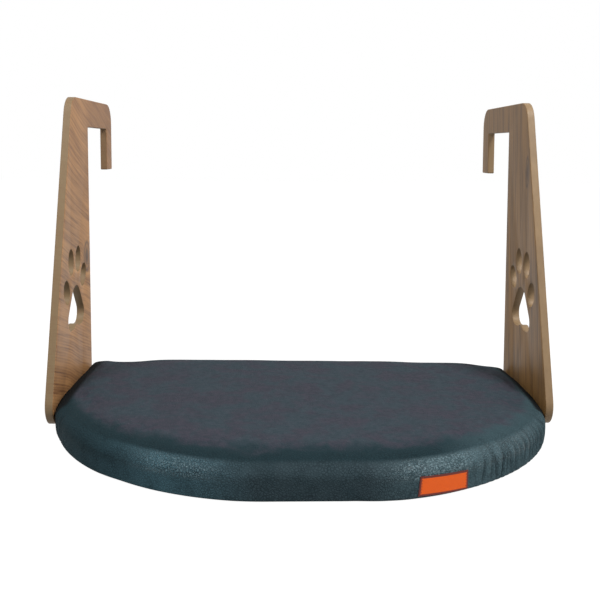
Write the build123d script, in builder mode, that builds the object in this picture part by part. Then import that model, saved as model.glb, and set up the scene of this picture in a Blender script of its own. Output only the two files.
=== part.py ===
"""Radiator cat bed: two hooked side panels carry an upholstered D-shaped seat between them.

Millimetres, +Z up. X runs across the bed, -Y is its front, and the hooks reach back along +Y.
The origin lies under the middle of the whole bed, level with the lining's lower face.
"""

import os
from math import atan2, cos, degrees, radians, sin

from build123d import *

# Side panels: a board with a sloping front edge, and a hook that grips the radiator
panel_thickness = 8.0
panel_gap = 485.0
panel_height = 328.0
column_top_width = 70.0
column_foot_width = 175.0
slot_width = 100.0
arm_height = 31.0
drop_width = 30.0
drop_length = 51.0
top_corner_radius = 24.0
foot_corner_radius = 21.0
foot_heel_radius = 4.0
slot_corner_radius = 2.0
drop_corner_radius = 1.5
edge_ease = 1.0

# Paw cut-out: it follows the board's width at its height, and its own parts follow its width
paw_height = 103.0
paw_width_share = 0.683
paw_setback_share = 0.479
pad_dome_radius_share = 0.206
pad_dome_rise_share = 0.031
pad_lobe_radius_share = 0.1186
pad_lobe_spread_share = 0.464
pad_lobe_fall_share = 0.1134
pad_notch_radius_share = 0.144
pad_notch_depth_share = 0.036
toe_width_share = 0.232
toe_length_share = 0.294
toe_place_shares = ((-0.385, 0.214), (-0.19, 0.515), (0.113, 0.52), (0.34, 0.31))
toe_leans = (38.0, 3.0, -12.0, -50.0)

# Seat: its plan is straight at the back and the sides, with a short flat between two broad front corners
seat_side_clearance = 0.3
seat_depth = 336.0
seat_back_setback = 2.0
seat_front_flat = 58.0
seat_back_radius = 12.0
radius_limit_share = 0.9

# Layers of the seat, from below
lining_thickness = 0.8
lining_inset = 12.0
cover_thickness = 1.2
cover_margin = 32.0
turn_radius = 2.0
board_thickness = 15.0
wadding_thickness = 3.0
layer_clearance = 0.15

# Rolled edge and crown of the stuffed top
wall_above_board = 3.0
roll_run = 26.0
roll_rise = 13.0
crown_rise = 6.0
crown_reach_share = 0.34
back_run_share = 0.6
back_softening_share = 0.25
roll_angles = (0.0, 15.0, 30.0, 45.0, 60.0, 75.0)
crown_shares = ((0.3, 0.51), (0.65, 0.88), (1.0, 1.0))

# Panel bolts and their barrel nuts, two a side
bolt_diameter = 6.0
bolt_length = 50.0
bolt_head_diameter = 15.0
bolt_head_height = 2.4
bolt_head_ease = 0.8
bolt_tip_chamfer = 1.0
bolt_socket_width = 4.0
bolt_socket_depth = 1.9
bolt_hole_clearance = 0.25
bolt_bore_relief = 2.0
bolt_front_inset = 43.0
bolt_back_inset = 44.0
thread_clearance = 0.05
nut_diameter = 10.0
nut_length = 13.0
nut_reach = 32.0
nut_clearance = 0.1
nut_slot_width = 1.2
nut_slot_depth = 1.5

# Staples, under the cover's margin and under the lining
staple_crown = 10.0
staple_wire = 1.0
staple_gauge = 0.5
staple_leg = 5.0
staple_slack = 0.05
cover_staple_inset = 25.0
cover_staple_count = 26
lining_staple_inset = 17.0
lining_staple_count = 22

# Woven tag on the front right of the cover
label_length = 48.0
label_height = 16.0
label_thickness = 0.5
label_lift = 2.0
label_bearing = 22.5
label_clearance = 0.1

# One overrun serves every cut that goes right through
overrun = 1.0

# Heights and places that follow from the sizes above
cover_underside = lining_thickness
board_underside = cover_underside + cover_thickness
board_top = board_underside + board_thickness
wall_top = board_top + wall_above_board
bolt_height = board_underside + board_thickness / 2
hook_reach = slot_width + drop_width
panel_back_y = (seat_back_setback + seat_depth - hook_reach) / 2
seat_back_y = panel_back_y - seat_back_setback
seat_front_y = seat_back_y - seat_depth
seat_half_width = panel_gap / 2 - seat_side_clearance
panel_outer_x = panel_gap / 2 + panel_thickness
panel_foot_z = board_underside
panel_top_z = panel_foot_z + panel_height
arm_underside_z = panel_top_z - arm_height
drop_end_z = arm_underside_z - drop_length
column_width_at_paw = column_foot_width + (column_top_width - column_foot_width) * paw_height / panel_height
board_inset = cover_thickness + layer_clearance
board_half_width = seat_half_width - board_inset
wadding_inset = board_inset
foam_inset = wadding_inset + wadding_thickness + layer_clearance
bolt_ys = (panel_back_y - column_foot_width + bolt_front_inset, panel_back_y - bolt_back_inset)
bolt_hole_radius = bolt_diameter / 2 + bolt_hole_clearance
nut_x = board_half_width - nut_reach

sides = {"left": -1, "right": 1}
os.makedirs("parts", exist_ok=True)


def finish(piece, name):
    """Labels a finished piece and writes it."""
    piece.part.label = name
    export_step(piece.part, f"parts/{name}.step")


def paw_cutout(width):
    """The paw about the middle of its pad: four leaning toes, and a dome that ends in two lobes."""
    lobe_x = width * pad_lobe_spread_share / 2
    lobe_y = -width * pad_lobe_fall_share
    lobe_radius = width * pad_lobe_radius_share
    notch_radius = width * pad_notch_radius_share
    with BuildSketch() as pad:
        with Locations((0, width * pad_dome_rise_share)):
            Circle(width * pad_dome_radius_share)
        with Locations((-lobe_x, lobe_y), (lobe_x, lobe_y)):
            Circle(lobe_radius)
        make_hull()
        with Locations((0, lobe_y - lobe_radius + width * pad_notch_depth_share - notch_radius)):
            Circle(notch_radius, mode=Mode.SUBTRACT)
    with BuildSketch() as paw:
        add(pad.sketch)
        for (along_share, up_share), lean in zip(toe_place_shares, toe_leans):
            with Locations((along_share * width, up_share * width)):
                Ellipse(width * toe_width_share / 2, width * toe_length_share / 2, rotation=lean)
    return paw.sketch


def panel_profile():
    """A side panel seen along X, its front to the left, with the paw and the bolt holes cut out."""
    corners = (
        ((panel_back_y, panel_foot_z), foot_heel_radius),
        ((panel_back_y, arm_underside_z), slot_corner_radius),
        ((panel_back_y + slot_width, arm_underside_z), slot_corner_radius),
        ((panel_back_y + slot_width, drop_end_z), drop_corner_radius),
        ((panel_back_y + hook_reach, drop_end_z), drop_corner_radius),
        ((panel_back_y + hook_reach, panel_top_z), top_corner_radius),
        ((panel_back_y - column_top_width, panel_top_z), top_corner_radius),
        ((panel_back_y - column_foot_width, panel_foot_z), foot_corner_radius),
    )
    with BuildSketch() as profile:
        with BuildLine():
            points = [point for point, _ in corners]
            FilletPolyline(*points, radius=[radius for _, radius in corners], close=True)
        make_face()
        with Locations((panel_back_y - column_width_at_paw * paw_setback_share, panel_foot_z + paw_height)):
            add(paw_cutout(column_width_at_paw * paw_width_share), mode=Mode.SUBTRACT)
        with Locations(*[(y, bolt_height) for y in bolt_ys]):
            Circle(bolt_hole_radius, mode=Mode.SUBTRACT)
    return profile.sketch


def front_corner_radius(half_width, depth):
    """Radius of the broad front corners, which leave the flat between them and stay within the depth."""
    return min(half_width - seat_front_flat / 2, depth * radius_limit_share)


def seat_plan(inset, draw_in=0.0):
    """The seat's plan, inset alike all round and drawn in further, less so along the back."""
    half_width = seat_half_width - inset - draw_in
    front_y = seat_front_y + inset + draw_in
    back_y = seat_back_y - inset - draw_in * back_run_share
    depth = back_y - front_y
    front_radius = front_corner_radius(half_width, depth)
    back_radius_limit = (depth - front_radius) * radius_limit_share
    back_radius = min(seat_back_radius + draw_in * back_softening_share, back_radius_limit)
    corners = ((-half_width, front_y), (half_width, front_y), (half_width, back_y), (-half_width, back_y))
    with BuildSketch() as plan:
        with BuildLine():
            radii = (front_radius, front_radius, back_radius, back_radius)
            FilletPolyline(*corners, radius=radii, close=True)
        make_face()
    return plan.sketch


def stuffed_levels():
    """How far each level of the rolled edge and the crown is drawn in, and its height above the wall."""
    turns = [radians(angle) for angle in roll_angles]
    levels = [(roll_run * (1 - cos(turn)), roll_rise * sin(turn)) for turn in turns]
    roll_in, roll_height = levels[-1]
    crown_run = seat_depth * crown_reach_share - roll_in
    for run_share, rise_share in crown_shares:
        levels.append((roll_in + crown_run * run_share, roll_height + crown_rise * rise_share))
    return levels


def seat_form(skin):
    """The stuffed seat's form under a skin: an upright wall, a rolled edge and a crowned top."""
    with BuildPart() as form:
        with BuildSketch(Plane.XY.offset(cover_underside + skin)):
            add(seat_plan(skin))
        extrude(amount=wall_top - cover_underside - 2 * skin)
        for draw_in, rise in stuffed_levels():
            with BuildSketch(Plane.XY.offset(wall_top - skin + rise)):
                add(seat_plan(skin, draw_in))
        loft(ruled=True)
    return form.part


def staple(slack=0.0):
    """One staple with its crown down and legs up, or with slack the slot that it sits in."""
    with BuildPart() as clip:
        with BuildSketch(Plane.XZ):
            with Locations((0, -slack)):
                Rectangle(staple_crown + 2 * slack, staple_leg + 2 * slack, align=(Align.CENTER, Align.MIN))
            with Locations((0, staple_gauge + slack)):
                Rectangle(
                    staple_crown - 2 * staple_gauge - 2 * slack,
                    staple_leg,
                    align=(Align.CENTER, Align.MIN),
                    mode=Mode.SUBTRACT,
                )
        extrude(amount=staple_wire / 2 + slack, both=True)
    return clip.part


def staple_ring(inset, count, crown_z, slack=0.0):
    """Staples spaced evenly along the seat's plan, each with its crown along the edge."""
    line = seat_plan(inset).face().outer_wire()
    places = []
    for index in range(count):
        along = line.length * (index + 0.5) / count
        spot = line.position_at(along, PositionMode.LENGTH)
        heading = line.tangent_at(along, PositionMode.LENGTH)
        places.append(Location((spot.X, spot.Y, crown_z), (0, 0, degrees(atan2(heading.Y, heading.X)))))
    with BuildPart() as ring:
        with Locations(*places):
            add(staple(slack))
    return ring.part


def bolt_places(x):
    """Planes across the bolts' axes at a distance from the middle, facing out on both sides."""
    return [
        Plane(origin=(side * x, y, bolt_height), x_dir=(0, 1, 0), z_dir=(side, 0, 0))
        for side in sides.values()
        for y in bolt_ys
    ]


cover_staple_slots = staple_ring(cover_staple_inset, cover_staple_count, cover_underside, staple_slack)
lining_staple_slots = staple_ring(lining_staple_inset, lining_staple_count, 0, staple_slack)

# Side panels, with their outer edges eased
for hand, side in sides.items():
    with BuildPart() as side_panel:
        with BuildSketch(Plane.YZ.offset(side * panel_gap / 2)):
            add(panel_profile())
        extrude(amount=side * panel_thickness)
        broad_faces = side_panel.faces().filter_by(Axis.X).sort_by(Axis.X)
        rims = broad_faces[0].outer_wire().edges() + broad_faces[-1].outer_wire().edges()
        fillet(rims, radius=edge_ease)
    finish(side_panel, f"{hand}_side_panel")

# Seat board, bored from its sides for the bolts and from below for the barrel nuts
with BuildPart() as seat_board:
    with BuildSketch(Plane.XY.offset(board_underside)):
        add(seat_plan(board_inset))
    extrude(amount=board_thickness)
    for place in bolt_places(board_half_width):
        with BuildSketch(place):
            Circle(bolt_hole_radius)
        extrude(amount=panel_outer_x - bolt_length - bolt_bore_relief - board_half_width, mode=Mode.SUBTRACT)
    with BuildSketch(Plane.XY.offset(board_underside)):
        with Locations(*[(side * nut_x, y) for side in sides.values() for y in bolt_ys]):
            Circle(nut_diameter / 2 + nut_clearance)
    extrude(amount=(board_thickness + nut_length) / 2 + nut_clearance, mode=Mode.SUBTRACT)
    add(cover_staple_slots, mode=Mode.SUBTRACT)
    add(lining_staple_slots, mode=Mode.SUBTRACT)
finish(seat_board, "seat_board")

# Foam pad, flat on the board
with BuildPart() as foam_pad:
    add(seat_form(foam_inset))
    split(bisect_by=Plane.XY.offset(board_top), keep=Keep.TOP)
finish(foam_pad, "foam_pad")

# Wadding over the foam, out to the board's edge
with BuildPart() as wadding_layer:
    add(seat_form(wadding_inset))
    add(seat_form(wadding_inset + wadding_thickness), mode=Mode.SUBTRACT)
    split(bisect_by=Plane.XY.offset(board_top), keep=Keep.TOP)
finish(wadding_layer, "wadding_layer")

# Cover: a skin over the whole seat, turned under the board in a margin
with BuildPart() as seat_cover:
    add(seat_form(0))
    fillet(seat_cover.faces().sort_by(Axis.Z)[0].outer_wire().edges(), radius=turn_radius)
    add(seat_form(cover_thickness), mode=Mode.SUBTRACT)
    with BuildSketch(Plane.XY.offset(cover_underside)):
        add(seat_plan(cover_margin))
    extrude(amount=cover_thickness, mode=Mode.SUBTRACT)
    for place in bolt_places(seat_half_width):
        with BuildSketch(place):
            Circle(bolt_hole_radius)
        extrude(amount=-cover_thickness - overrun, mode=Mode.SUBTRACT)
    add(cover_staple_slots, mode=Mode.SUBTRACT)
    add(lining_staple_slots, mode=Mode.SUBTRACT)
finish(seat_cover, "seat_cover")

# Lining over the cover's raw margin
with BuildPart() as underside_lining:
    with BuildSketch():
        add(seat_plan(lining_inset))
    extrude(amount=lining_thickness)
    add(lining_staple_slots, mode=Mode.SUBTRACT)
finish(underside_lining, "underside_lining")

# Staples, with their crowns pressed flush
with BuildPart() as cover_staples:
    add(staple_ring(cover_staple_inset, cover_staple_count, cover_underside))
finish(cover_staples, "cover_staples")

with BuildPart() as lining_staples:
    add(staple_ring(lining_staple_inset, lining_staple_count, 0))
finish(lining_staples, "lining_staples")

# Panel bolts: a flat eased head with a hexagon socket, and a plain shank
head_radius = bolt_head_diameter / 2
shank_radius = bolt_diameter / 2
with BuildPart() as bolt:
    with BuildSketch(Plane.XZ):
        with BuildLine():
            Polyline(
                (0, bolt_head_height),
                (head_radius - bolt_head_ease, bolt_head_height),
                (head_radius, bolt_head_height - bolt_head_ease),
                (head_radius, 0),
                (shank_radius, 0),
                (shank_radius, bolt_tip_chamfer - bolt_length),
                (shank_radius - bolt_tip_chamfer, -bolt_length),
                (0, -bolt_length),
                close=True,
            )
        make_face()
    revolve(axis=Axis.Z)
    with BuildSketch(Plane.XY.offset(bolt_head_height)):
        RegularPolygon(bolt_socket_width / 2, 6, major_radius=False)
    extrude(amount=-bolt_socket_depth, mode=Mode.SUBTRACT)

with BuildPart() as panel_bolts:
    with Locations(*bolt_places(panel_outer_x)):
        add(bolt.part)
finish(panel_bolts, "panel_bolts")

# Barrel nuts: cross-bored cylinders that stand in the board, with a driver slot below
with BuildPart() as barrel_nut:
    Cylinder(nut_diameter / 2, nut_length)
    Cylinder(shank_radius + thread_clearance, nut_diameter, rotation=(0, 90, 0), mode=Mode.SUBTRACT)
    with Locations((0, 0, -nut_length / 2)):
        Box(
            nut_slot_width,
            nut_diameter,
            nut_slot_depth,
            align=(Align.CENTER, Align.CENTER, Align.MIN),
            mode=Mode.SUBTRACT,
        )

with BuildPart() as barrel_nuts:
    with Locations(*[(side * nut_x, y, bolt_height) for side in sides.values() for y in bolt_ys]):
        add(barrel_nut.part)
finish(barrel_nuts, "barrel_nuts")

# Woven tag, bent to the front right corner of the cover
label_corner_radius = front_corner_radius(seat_half_width, seat_depth)
label_centre = (seat_half_width - label_corner_radius, seat_front_y + label_corner_radius)
label_inner_radius = label_corner_radius + label_clearance
label_sweep = degrees(label_length / label_inner_radius)
label_start = label_bearing - 90 - label_sweep / 2
with BuildPart() as label_tag:
    with BuildSketch(Plane.XY.offset(cover_underside + label_lift)):
        with BuildLine():
            inner = CenterArc(label_centre, label_inner_radius, label_start, label_sweep)
            outer = CenterArc(label_centre, label_inner_radius + label_thickness, label_start, label_sweep)
            Line(inner @ 0, outer @ 0)
            Line(inner @ 1, outer @ 1)
        make_face()
    extrude(amount=label_height)
finish(label_tag, "label_tag")
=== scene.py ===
"""Looks of the radiator cat bed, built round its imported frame.

Metres, +Z up, -Y is the front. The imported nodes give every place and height. The side panels get
grain and cleaner rims, the seat a stuffed leather-look cover, and the fastenings their metals.
"""

import math
from functools import partial

import bmesh
import bpy
import numpy as np
from mathutils import Matrix, Vector, noise
from mathutils.bvhtree import BVHTree


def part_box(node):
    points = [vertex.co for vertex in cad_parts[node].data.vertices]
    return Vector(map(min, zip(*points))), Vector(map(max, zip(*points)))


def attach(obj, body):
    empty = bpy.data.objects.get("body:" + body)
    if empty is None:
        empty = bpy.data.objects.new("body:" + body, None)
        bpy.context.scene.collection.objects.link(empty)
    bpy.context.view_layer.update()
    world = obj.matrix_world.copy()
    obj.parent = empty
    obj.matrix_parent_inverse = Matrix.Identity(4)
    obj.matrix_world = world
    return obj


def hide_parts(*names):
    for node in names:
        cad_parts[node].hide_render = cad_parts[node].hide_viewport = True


bl_info = {
    "name": "Radiator cat bed",
    "version": (1, 0, 0),
    "blender": (4, 5, 0),
    "location": "View3D > Sidebar > Cat bed",
    "description": "Builds the cat bed's wood, cover, tag and stage round its packed frame",
    "category": "Object",
}

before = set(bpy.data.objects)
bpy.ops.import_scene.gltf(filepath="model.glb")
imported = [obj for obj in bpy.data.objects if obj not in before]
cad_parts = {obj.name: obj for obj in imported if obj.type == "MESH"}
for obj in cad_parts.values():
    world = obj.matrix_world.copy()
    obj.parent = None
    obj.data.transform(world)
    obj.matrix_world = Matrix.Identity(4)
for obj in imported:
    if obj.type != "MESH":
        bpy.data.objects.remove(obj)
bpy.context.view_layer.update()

MM = 0.001
ROOT = "root"
# Height of the bolts, about which the boards lean
BOLT_HEIGHT = 9.5 * MM


def linear(hex_code):
    """An sRGB hex colour as linear red, green and blue."""
    shares = [int(hex_code[i : i + 2], 16) / 255 for i in (0, 2, 4)]
    return tuple(s / 12.92 if s <= 0.04045 else ((s + 0.055) / 1.055) ** 2.4 for s in shares)


def colour_property(name, description, hex_code):
    """A colour that a user can change, with an sRGB hex default."""
    return bpy.props.FloatVectorProperty(
        name=name, description=description, subtype="COLOR", size=3, min=0, max=1, default=linear(hex_code)
    )


def length_property(name, description, millimetres):
    """A length that a user can change, with its default in millimetres."""
    return bpy.props.FloatProperty(
        name=name,
        description=description,
        unit="LENGTH",
        subtype="DISTANCE",
        precision=4,
        default=millimetres * MM,
    )


def angle_property(name, description, degrees):
    """An angle that a user can change, with its default in degrees."""
    return bpy.props.FloatProperty(
        name=name, description=description, subtype="ANGLE", unit="ROTATION", default=math.radians(degrees)
    )


def power_property(name, description, watts):
    """The power of a lamp, in watts."""
    return bpy.props.FloatProperty(name=name, description=description, unit="POWER", min=0, default=watts)


def factor_property(name, description, value):
    """A plain number that a user can change."""
    return bpy.props.FloatProperty(
        name=name,
        description=description,
        subtype="FACTOR",
        soft_min=-1,
        soft_max=2,
        precision=4,
        default=value,
    )


class CatBedPanelSettings(bpy.types.PropertyGroup):
    lean: angle_property("Lean", "How far both boards lean to the left as the bed hangs", 0.32)
    rim_bevel: length_property("Rim bevel", "Ease on the paw's and the bolt holes' rims", 0.6)
    left_light: colour_property("Left light", "Pale wood between the left board's grain lines", "B68758")
    left_dark: colour_property("Left dark", "Grain lines of the left board", "67442A")
    left_edge: colour_property("Left edge", "Sanded edges of the left board", "746146")
    right_light: colour_property("Right light", "Pale wood between the right board's grain lines", "936E40")
    right_dark: colour_property("Right dark", "Grain lines of the right board", "45301A")
    right_edge: colour_property("Right edge", "Sanded edges of the right board", "7D6649")
    left_knot: colour_property("Left knot", "Heart of the left board's knot", "4A3D35")
    right_knot: colour_property("Right knot", "Heart of the right board's knot", "2E1C0E")


class CatBedSeatSettings(bpy.types.PropertyGroup):
    front_flat: length_property("Front flat", "Straight stretch between the two front corners", 58.0)
    back_radius: length_property("Back radius", "Rounding of the back corners in plan", 4.0)
    side_gap: length_property("Side gap", "Least gap between the stuffed cover and a board", 1.3)
    front_shift: length_property("Front shift", "How far the front sits to the right of the middle", 3.0)
    wall_top: length_property("Wall top", "Height at which the wall starts to roll over", 19.0)
    roll_run: length_property("Roll run", "How far in the rolled edge reaches", 27.0)
    roll_rise: length_property("Roll rise", "How much the rolled edge climbs", 13.0)
    crown_rise: length_property("Crown rise", "How much the filling stands above the rolled edge", 4.0)
    crown_reach: length_property("Crown reach", "Distance in which the crown fades towards the edge", 45.0)
    swell: length_property("Swell", "Most that the blown-up cover may move", 2.5)
    lump_rise: length_property("Lump rise", "Height of the low lumps on the top", 0.9)
    gather_depth: length_property("Gather depth", "Depth of the gathers at the front corners", 2.6)
    gather_pitch: length_property("Gather pitch", "Distance from one gather to the next", 7.5)
    top: colour_property("Top", "Worn grey-blue of the top", "333C43")
    patch: colour_property("Patch", "Plum-grey patches on the top", "383740")
    # Also the colour of the painted shade at the wall's left end
    shoulder: colour_property("Shoulder", "Unworn dark teal where the top turns over", "17282D")
    side: colour_property("Side", "Teal of the wall and the rolled edge on the left", "39545D")
    middle: colour_property("Middle", "Greyer teal of the wall's middle", "29363B")
    # Painted light: this paler teal stands in for the brighter light on the wall's right side
    painted_light: colour_property("Rubbed", "Paler teal of the wall's rubbed right side", "45595F")
    # Dark of the crackle, also used as painted shade in the gathers and beside the boards
    crackle_and_shade: colour_property("Crease", "Dark lines of the crackle", "0C1418")
    # Painted glints: pale specks that stand in for the highlights on the rolled edge
    painted_glint: colour_property("Bare", "Pale specks where the rolled edge has lost its colour", "8FA6AC")


class CatBedTagSettings(bpy.types.PropertyGroup):
    thickness: length_property("Thickness", "Thickness of the woven ribbon", 0.5)
    lift: length_property("Lift", "Gap between the ribbon and the cover", 0.12)
    border_width: length_property("Border width", "Width of the dark woven border", 1.7)
    thread_width: length_property("Thread width", "Thickness of the sewing thread", 0.4)
    stitch_length: length_property("Stitch length", "Length of one stitch", 1.7)
    slide: length_property("Slide", "How far the tag was sewn to the left of its middle place", 3.4)
    tuck: length_property("Tuck", "How much of the tag's length is turned under at its ends", 1.6)
    skew: length_property("Skew", "How far the tag's upper left corner is drawn in", 1.7)
    tilt: length_property("Tilt", "How much lower the tag's right end was sewn", 1.2)
    face: colour_property("Face", "Woven orange of the tag", "E35B08")
    border: colour_property("Border", "Dark woven border of the tag", "5A221B")
    thread: colour_property("Thread", "Sewing thread of the tag", "7E3518")


class CatBedStageSettings(bpy.types.PropertyGroup):
    lens: bpy.props.FloatProperty(
        name="Lens", description="Focal length of the camera", unit="CAMERA", min=1, default=51.0
    )
    shift_x: factor_property("Shift across", "Shift of the camera to the right, in frame widths", -0.0352)
    shift_y: factor_property("Shift up", "Shift of the camera up, in frame widths", -0.1337)
    place: bpy.props.FloatVectorProperty(
        name="Place", description="Where the camera stands", subtype="XYZ", default=(-0.0169, -0.8808, 0.2788)
    )
    yaw: angle_property("Yaw", "Turn of the camera to the right", 2.338)
    pitch: angle_property("Pitch", "Tilt of the camera down", 4.858)
    roll: angle_property("Roll", "Roll of the camera", -0.643)
    key: power_property("Key", "Power of the right softbox", 28.0)
    fill: power_property("Fill", "Power of the left softbox", 13.0)
    front: power_property("Front", "Power of the front softbox", 5.0)
    sky: factor_property("Sky", "Strength of the even white light", 0.3)
    floor: colour_property("Floor", "Pale paper of the floor", "B4B4B4")
    glow: factor_property("Glow", "Strength of the floor's own white", 1.22)
    glow_share: factor_property("Glow share", "Share of the floor's look that is its own white", 0.8)


SETTINGS = {
    "cat_bed_panels": CatBedPanelSettings,
    "cat_bed_seat": CatBedSeatSettings,
    "cat_bed_tag": CatBedTagSettings,
    "cat_bed_stage": CatBedStageSettings,
}


# Settings of a Map Range node that eases at both ends, and of a Mix node for colours
EASED = {"interpolation_type": "SMOOTHSTEP"}
COLOURS = {"data_type": "RGBA"}


def add_node(tree, kind, sockets=(), output=0, stops=(), **settings):
    """Adds a node with its settings and its ramp's stops, sets or links its inputs, and gives one output.

    The inputs come in their order, or by name or number, and each is a value or another node's output.
    """
    node = tree.nodes.new("ShaderNode" + kind)
    for name, value in settings.items():
        setattr(node, name, value)
    if stops:
        elements = node.color_ramp.elements
        for _ in stops[2:]:
            elements.new(0.5)
        for element, (place, colour) in zip(elements, stops):
            element.position = place
            element.color = (*colour, 1)
    named = sockets if isinstance(sockets, dict) else dict(enumerate(sockets))
    for key, value in named.items():
        if isinstance(value, bpy.types.NodeSocket):
            tree.links.new(value, node.inputs[key])
        elif hasattr(value, "__len__") and len(value) == 3 and len(node.inputs[key].default_value) == 4:
            node.inputs[key].default_value = (*value, 1)
        else:
            node.inputs[key].default_value = value
    return node.outputs[output] if node.outputs else None


def empty_tree(owner):
    """Clears the nodes of a material or a world, and gives what adds nodes to it."""
    owner.use_nodes = True
    owner.node_tree.nodes.clear()
    return partial(add_node, owner.node_tree)


def new_material(name):
    """A new material, what adds nodes to it, and each point's place in millimetres."""
    material = bpy.data.materials.new(name)
    node = empty_tree(material)
    place = node("VectorMath", {0: node("TexCoord", output="Object"), "Scale": 1 / MM}, operation="SCALE")
    return material, node, place


def give_surface(node, colour, height=None, depth=0.0, strength=1.0, **values):
    """Ends a material: colour, relief from a height, its depth in millimetres, and the shader's values."""
    sockets = {key.replace("_", " ").title().replace("Ior", "IOR"): value for key, value in values.items()}
    if height is not None:
        sockets["Normal"] = node("Bump", {"Height": height, "Distance": depth * MM, "Strength": strength})
    node("OutputMaterial", {"Surface": node("BsdfPrincipled", {"Base Color": colour, **sockets})})


def between(first, second, share):
    """A plain colour between two others."""
    return tuple(a * (1 - share) + b * share for a, b in zip(first, second))


def dimmed(colour, share):
    """A plain colour with a share of its light."""
    return tuple(c * share for c in colour)


# For each board the turn of its grain in degrees, its knot as (y, z, radius, stretch), and the shares of the
# ripples, of the painted shade on the hook's arm, of the painted shade at the foot, and of the darker tone at
# the head
BOARD_FIGURES = {
    "left": (19.0, (88.0, 153.0, 10.0, 1.2), 0.1, 0.4, 0.26, 0.13),
    "right": (-84.0, (24.0, 255.0, 4.5, 2.6), 0.0, 0.0, 0.0, 0.2),
}


def wood_material(hand, light, dark, edge, knot_heart):
    """Oiled wood, planed and sanded: long soft grain lines, a knot, paler sanded edges, and painted shade at
    the foot and on the hook's arm.
    """
    turn, knot, ripples, arm_shade_share, foot_shade_share, head_tone = BOARD_FIGURES[hand]
    knot_y, knot_z, knot_radius, stretch = knot
    material, node, place = new_material(f"planed_wood_{hand}")
    y, z = (node("SeparateXYZ", (place,), axis) for axis in "YZ")
    drawn = node("VectorMath", (place, (0, 1, 1 / stretch)), operation="MULTIPLY")
    from_knot = node("VectorMath", (drawn, (0, knot_y, knot_z / stretch)), "Value", operation="DISTANCE")
    near_knot = node("MapRange", (from_knot, 0.0, knot_radius * 2.6, 1.0, 0.0), **EASED)
    # Broad waves bend the grain by up to 8 mm, and it closes up round the knot
    wave = node("TexNoise", {"Vector": place, "Scale": 1 / 130, "Detail": 1.0}, "Color")
    swing = node("VectorMath", (wave, (0.5, 0.5, 0.5)), operation="SUBTRACT")
    bent = node("VectorMath", (swing, (16, 16, 16), place), operation="MULTIPLY_ADD")
    bent = node("VectorMath", (near_knot, (0, 9, 9), bent), operation="MULTIPLY_ADD")
    turned = node("Mapping", {"Vector": bent, "Rotation": (math.radians(turn), 0, 0)})
    # Growth lines a few millimetres apart that run for a hand's breadth, broad bands, pores half a millimetre
    # wide, drawn twice as coarse so that they show, and thin hair cracks
    lines, bands, pores, hairs = (
        node(
            "TexNoise",
            {
                "Vector": node("VectorMath", (turned, [1 / s for s in size]), operation="MULTIPLY"),
                "Scale": 1.0,
                "Detail": detail,
                "Roughness": roughness,
            },
        )
        for size, detail, roughness in (
            ((9, 90, 3.2), 3.0, 0.6),
            ((20, 170, 15), 2.0, 0.5),
            ((2, 16, 1.0), 2.0, 0.6),
            ((9, 110, 1.9), 2.0, 0.6),
        )
    )
    height = 0.0
    for part, share in ((lines, 0.5), (bands, 0.35), (pores, 0.15)):
        height = node("Math", (part, share, height), operation="MULTIPLY_ADD")
    # Ripples across the foot of the board
    ripple = node(
        "TexWave",
        {"Vector": turned, "Scale": 0.1, "Distortion": 9.0, "Detail": 3.0, "Detail Scale": 0.03},
        "Fac",
        bands_direction="Z",
    )
    centred = node("Math", (ripple, 0.5), operation="SUBTRACT")
    low = node("MapRange", (z, 60.0, 120.0, ripples, 0.0), **EASED)
    height = node("Math", (centred, low, height), operation="MULTIPLY_ADD")
    tones = ((0.33, 0.0), (0.44, 0.45), (0.55, 0.85), (0.65, 1.0))
    stops = [(level, between(dark, light, share)) for level, share in tones]
    grain = node("ValToRGB", (height,), stops=stops)
    # Hair cracks are dark, and so are the knot's rings. Painted shade darkens the foot near the seat and the
    # arm of the hook inside its slot, and the tone is darker towards the head
    cracks = node("MapRange", (hairs, 0.56, 0.7, 0.0, 0.65 - ripples * 2.5), **EASED)
    ring_shares = ((0.3, 0.0), (0.48, 0.75), (0.66, 0.3), (0.95, 0.85))
    rings = node("ValToRGB", (near_knot,), stops=[(level, (share,) * 3) for level, share in ring_shares])
    foot_shade = node("MapRange", (z, 140.0, 40.0, 0.0, foot_shade_share), **EASED)
    head = node("MapRange", (z, 190.0, 270.0, 0.0, head_tone), **EASED)
    behind = node("MapRange", (y, 75.0, 120.0), **EASED)
    high = node("MapRange", (z, 225.0, 245.0, 0.0, arm_shade_share), **EASED)
    arm_shade = node("Math", (behind, high), operation="MULTIPLY")
    darkened = ((cracks, dimmed(dark, 0.8)), (rings, knot_heart), (foot_shade, dark), (head, dark), (arm_shade, dark))
    for share, tint in darkened:
        grain = node("Mix", {0: share, 6: grain, 7: tint}, 2, **COLOURS)
    # The broad faces look along X, and the sanded edges everywhere else
    facing = node("SeparateXYZ", (node("TexCoord", output="Normal"),))
    sideways = node("Math", (facing,), operation="ABSOLUTE")
    on_face = node("MapRange", (sideways, 0.6, 0.85))
    # The grain's dark runs on over the edges where its height is below 0.62
    below = node("Math", (height, -1.1, 0.62 * 1.1), operation="MULTIPLY_ADD", use_clamp=True)
    sanded = node("Mix", {0: below, 6: edge, 7: dark}, 2, **COLOURS)
    # Painted shade darkens the sanded edges on the hook's arm as well
    sanded = node("Mix", {0: arm_shade, 6: sanded, 7: dark}, 2, **COLOURS)
    colour = node("Mix", {0: on_face, 6: sanded, 7: grain}, 2, **COLOURS)
    give_surface(node, colour, height, 0.35, 0.5, roughness=0.55, ior=1.5, specular_ior_level=0.35)
    return material


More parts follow.
